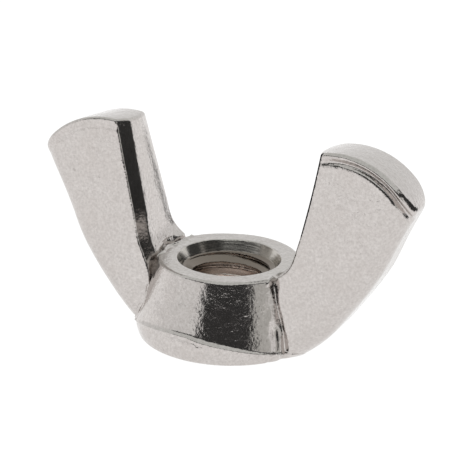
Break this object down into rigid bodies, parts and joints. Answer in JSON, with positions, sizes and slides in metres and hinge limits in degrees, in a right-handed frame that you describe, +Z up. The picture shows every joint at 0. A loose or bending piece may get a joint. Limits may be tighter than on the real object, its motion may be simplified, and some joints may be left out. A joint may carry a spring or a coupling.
{
  "type": "wing nut",
  "caption": "Forged wing nut with a tapered boss, a tapped through hole and two upswept finger wings, tightened by hand on a stud.",
  "frame": {"origin": "centre of the flat bearing face, on the thread axis", "axes": "+Z up the thread axis, away from the bearing face; the wings lie along +X and -X"},
  "size_m": [0.0358, 0.0166, 0.019],
  "materials": {
    "forged_metal": "bright, smooth forged and plated"
  },
  "bodies": {
    "root": {"hub": "forged_metal", "wing_left": "forged_metal", "wing_right": "forged_metal"}
  },
  "joints": []
}
